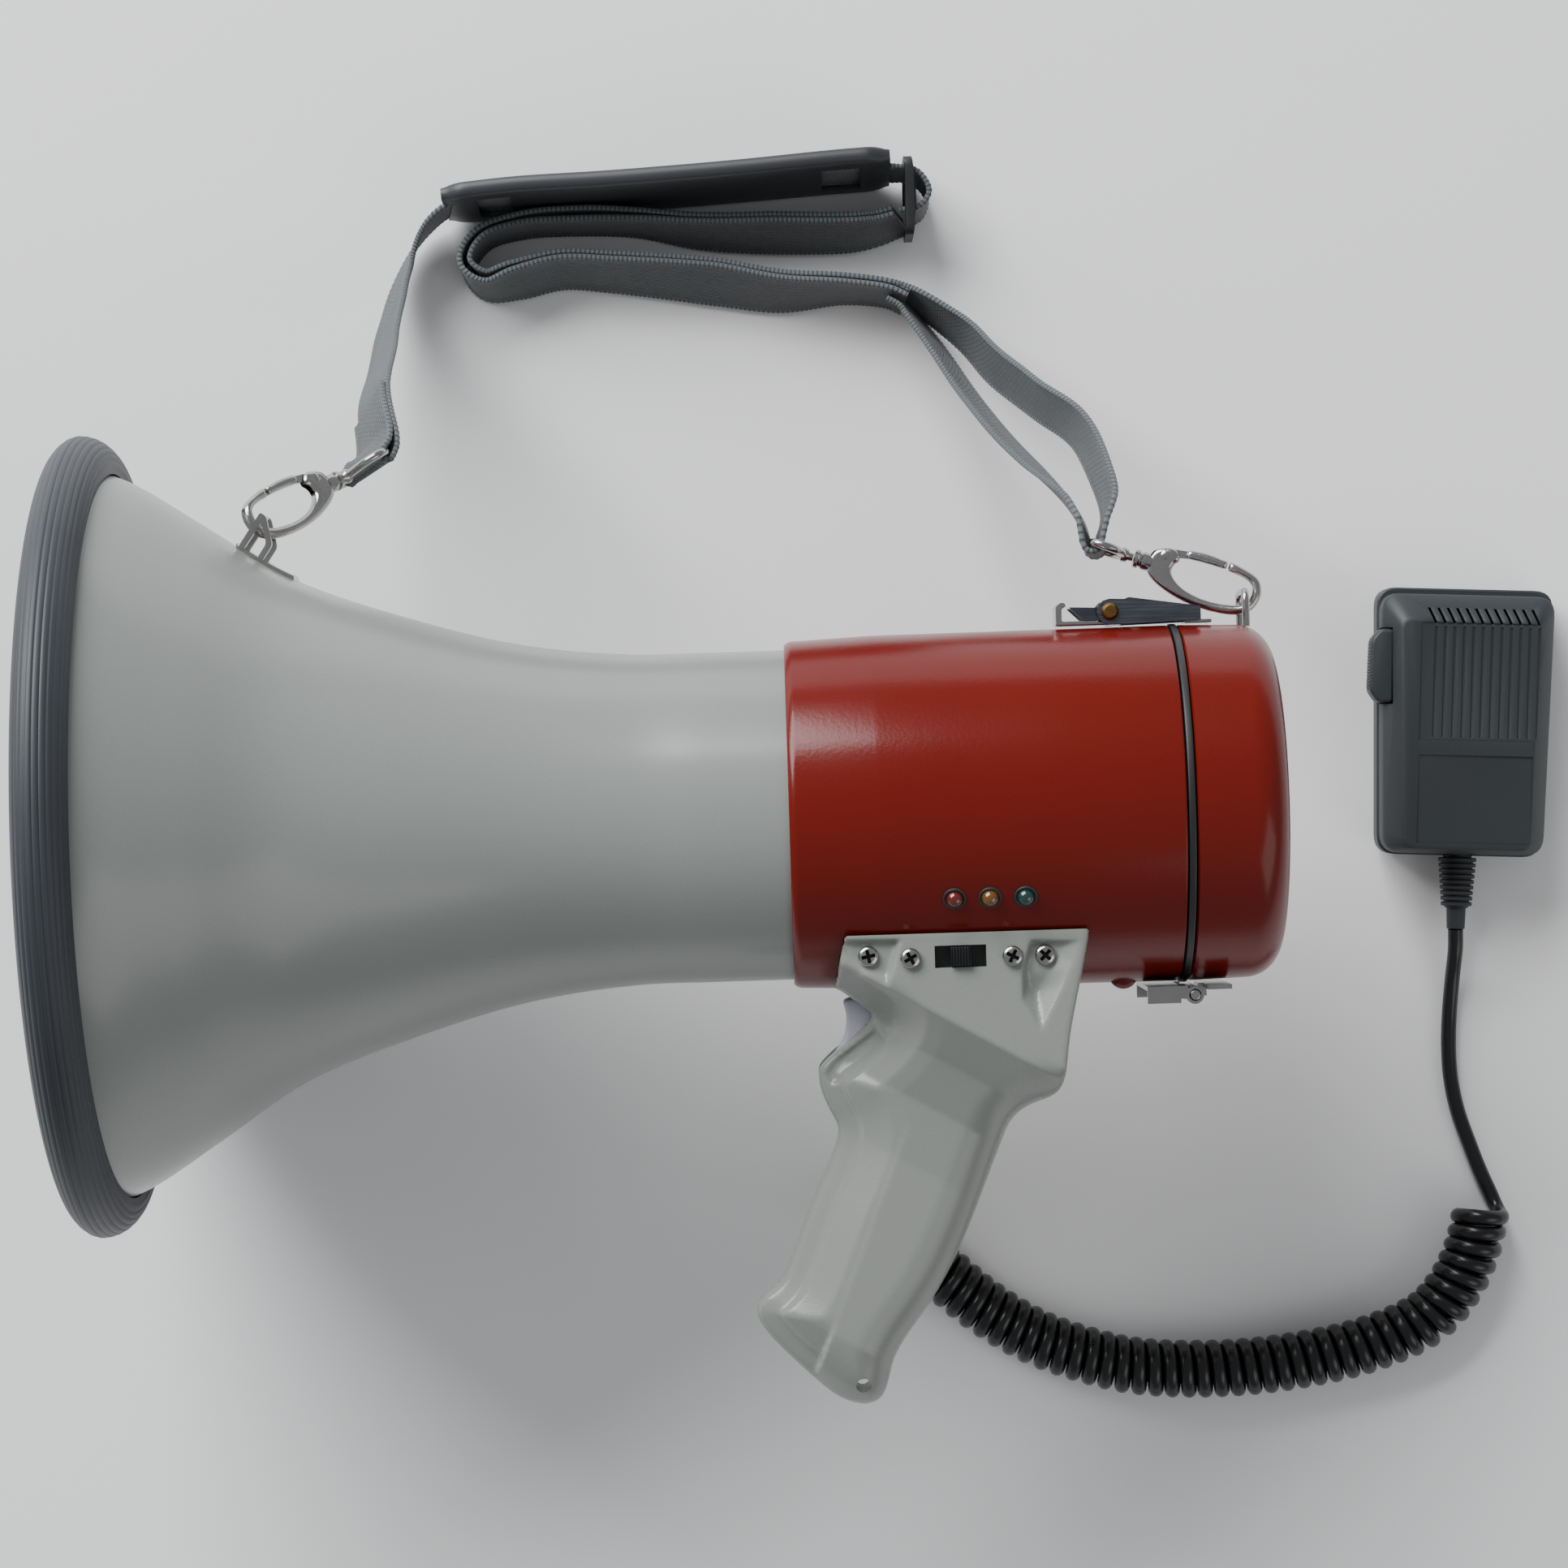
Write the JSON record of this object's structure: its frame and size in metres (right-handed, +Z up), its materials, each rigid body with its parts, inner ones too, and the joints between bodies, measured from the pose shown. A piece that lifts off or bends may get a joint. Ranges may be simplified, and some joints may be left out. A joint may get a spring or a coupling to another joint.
{
  "type": "handheld megaphone",
  "caption": "Pistol-grip megaphone with flared horn, ribbed rubber rim, hinged battery cover, webbing shoulder strap and curly-corded fist microphone.",
  "frame": {"origin": "on the surface it lies on, under the middle of the object's bounding box without the free cord", "axes": "+X along the horn axis from the bell to the battery cover, -Y along the pistol grip, +Z up out of the switch panel"},
  "size_m": [0.445, 0.3889, 0.23],
  "materials": {
    "bell_plastic": "glossy warm grey-green moulded plastic",
    "grip_plastic": "semi-gloss grey-green moulded plastic",
    "red_plastic": "deep red glossy plastic",
    "rim_rubber": "ribbed blue-grey rubber",
    "black_rubber": "black rubber",
    "pad_rubber": "smooth black rubber",
    "cord_rubber": "glossy black cord jacket",
    "chrome": "bright nickel plate",
    "plated_steel": "zinc-plated pressed steel",
    "brass": "dull brass",
    "magnet_steel": "dark phosphated steel",
    "aluminium_dome": "pressed foil",
    "inner_plastic": "matt black plastic",
    "cell_jacket": "plain printed jacket",
    "board_green": "circuit board",
    "trigger_plastic": "lavender-grey plastic",
    "switch_plastic": "black plastic",
    "mic_plastic": "fine-textured dark grey plastic",
    "mic_rubber": "grey strain relief",
    "webbing": "grey woven webbing",
    "led_red": "dark red lens, unlit",
    "led_amber": "dark amber lens, unlit",
    "led_green": "dark green lens, unlit"
  },
  "bodies": {
    "root": {"bell": "bell_plastic", "bell_rim": "rim_rubber", "reflector": "bell_plastic", "throat_tube": "inner_plastic", "driver_magnet": "magnet_steel", "driver_dome": "aluminium_dome", "bell_strap_bracket": "chrome", "body_shell": "red_plastic", "cover_seal": "black_rubber", "led_low": "led_red", "led_mid": "led_amber", "led_high": "led_green", "battery_holder": "inner_plastic", "cell_pair_1": "cell_jacket", "cell_pair_2": "cell_jacket", "cell_pair_3": "cell_jacket", "cell_pair_4": "cell_jacket", "contact_plate": "brass", "amplifier_board": "board_green", "hinge_body_leaf": "chrome", "hinge_pin": "chrome", "latch_base": "chrome", "latch_rivet": "brass", "grip_left_shell": "grip_plastic", "grip_right_shell": "grip_plastic", "trigger_pin": "plated_steel", "trigger_switch": "switch_plastic", "mode_switch_body": "switch_plastic", "panel_screw_front": "chrome", "panel_screw_rear": "chrome", "bracket_screw_front": "chrome", "bracket_screw_rear": "chrome", "cord_gland": "black_rubber", "cord_tail": "cord_rubber", "coil_cord": "cord_rubber", "lead_cord": "cord_rubber", "mic_strain_relief": "mic_rubber", "mic_front_shell": "mic_plastic", "mic_back_shell": "mic_plastic", "mic_capsule": "plated_steel", "bell_hook_body": "chrome", "bell_hook_eye": "chrome", "strap_front": "webbing", "strap_slack": "webbing", "shoulder_pad": "pad_rubber", "slide_adjuster": "switch_plastic"},
    "rear_cover": {"rear_cover": "red_plastic", "hinge_cover_leaf": "chrome", "latch_strike": "chrome", "rear_strap_loop": "chrome", "rear_hook_body": "chrome", "rear_hook_eye": "chrome", "strap_rear_end": "webbing"},
    "latch_lever": {"latch_lever": "plated_steel"},
    "latch_bail": {"latch_bail": "chrome"},
    "trigger": {"trigger": "trigger_plastic"},
    "mode_switch_knob": {"mode_switch_knob": "switch_plastic"},
    "mic_button": {"mic_button": "mic_plastic"},
    "bell_hook_gate": {"bell_hook_gate": "chrome"},
    "rear_hook_gate": {"rear_hook_gate": "chrome"}
  },
  "joints": [
    {"name": "cover_hinge", "type": "hinge", "parent": "root", "child": "rear_cover", "pos_m": [0.0961, -0.0707, 0.115], "axis": [0, 0, -1], "range_deg": [0, 100]},
    {"name": "latch_lift", "type": "hinge", "parent": "root", "child": "latch_lever", "pos_m": [0.0761, 0.039, 0.115], "axis": [0, 0, 1], "range_deg": [0, 120]},
    {"name": "bail_swing", "type": "hinge", "parent": "latch_lever", "child": "latch_bail", "pos_m": [0.0841, 0.038, 0.115], "axis": [0, 0, 1], "range_deg": [-60, 0]},
    {"name": "trigger_pull", "type": "hinge", "parent": "root", "child": "trigger", "pos_m": [0.0024, -0.0723, 0.115], "axis": [0, 0, 1], "range_deg": [0, 8], "stiffness_Nm_per_rad": 0.5},
    {"name": "mode_switch_slide", "type": "slide", "parent": "root", "child": "mode_switch_knob", "axis": [1, 0, 0], "range_m": [-0.004, 0.004]},
    {"name": "talk_press", "type": "slide", "parent": "root", "child": "mic_button", "axis": [0.9984, -0.0558, 0], "range_m": [0, 0.0025], "stiffness_N_per_m": 1200},
    {"name": "bell_gate_swing", "type": "hinge", "parent": "root", "child": "bell_hook_gate", "pos_m": [-0.15306, 0.08571, 0.09798], "axis": [0.6016, 0.3473, 0.7193], "range_deg": [0, 16], "stiffness_Nm_per_rad": 0.1},
    {"name": "rear_gate_swing", "type": "hinge", "parent": "rear_cover", "child": "rear_hook_gate", "pos_m": [0.09502, 0.05581, 0.09551], "axis": [0.1145, -0.0417, -0.9925], "range_deg": [0, 16], "stiffness_Nm_per_rad": 0.1}
  ],
  "couplings": [
    {"joint": "bail_swing", "follows": "latch_lift", "ratio": -0.5}
  ]
}
